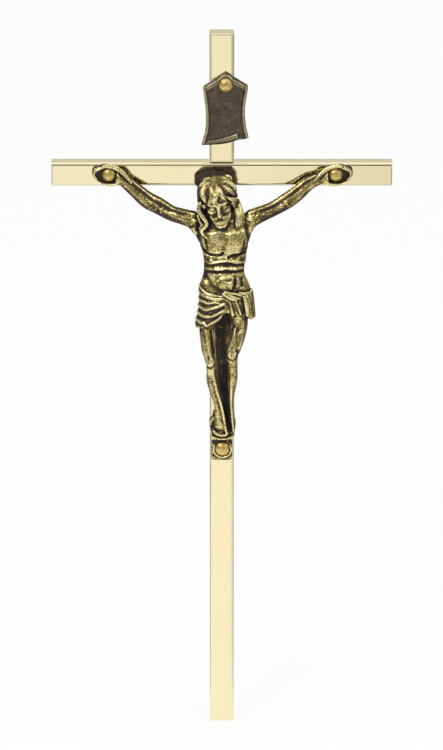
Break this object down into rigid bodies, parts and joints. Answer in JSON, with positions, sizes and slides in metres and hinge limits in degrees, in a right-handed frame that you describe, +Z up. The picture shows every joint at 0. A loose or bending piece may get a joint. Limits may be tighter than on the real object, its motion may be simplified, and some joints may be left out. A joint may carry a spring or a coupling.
{
  "type": "wall crucifix",
  "caption": "Slender wall crucifix of polished brass bars with an antique brass corpus, a scroll-shaped plaque, domed nails and a recessed hanging ring.",
  "frame": {"origin": "middle of the crossing, on the flat back of the upright", "axes": "+Z up along the upright, +X to the viewer's right along the crossbar, -Y out of the front towards the viewer, so +Y points into the wall"},
  "size_m": [0.1142, 0.0235, 0.254],
  "materials": {
    "polished_brass": "bright gold-toned, polished and lacquered",
    "antique_brass": "cast, dark patina in the hollows, rubbed bright on the high spots",
    "aged_plaque": "cast, oxidised dark, with rubbed edges",
    "nail_brass": "plain brass, softly dulled",
    "hanger_brass": "plain brass strip and wire, dulled"
  },
  "bodies": {
    "cross": {"upright": "polished_brass", "crossbar": "polished_brass", "corpus": "antique_brass", "nail_left_hand": "nail_brass", "nail_right_hand": "nail_brass", "nail_feet": "nail_brass", "nail_plaque": "nail_brass", "hanger_strap": "hanger_brass", "hanger_rivet": "hanger_brass"},
    "plaque": {"plaque": "aged_plaque"},
    "ring": {"hanger_ring": "hanger_brass"}
  },
  "joints": [
    {"name": "plaque_swivel", "type": "hinge", "parent": "cross", "child": "plaque", "pos_m": [0.0013, -0.00595, 0.032], "axis": [0, 1, 0], "continuous": true},
    {"name": "ring_swing", "type": "hinge", "parent": "cross", "child": "ring", "pos_m": [0, -0.00105, 0.0414], "axis": [1, 0, 0], "range_deg": [0, 180]}
  ]
}
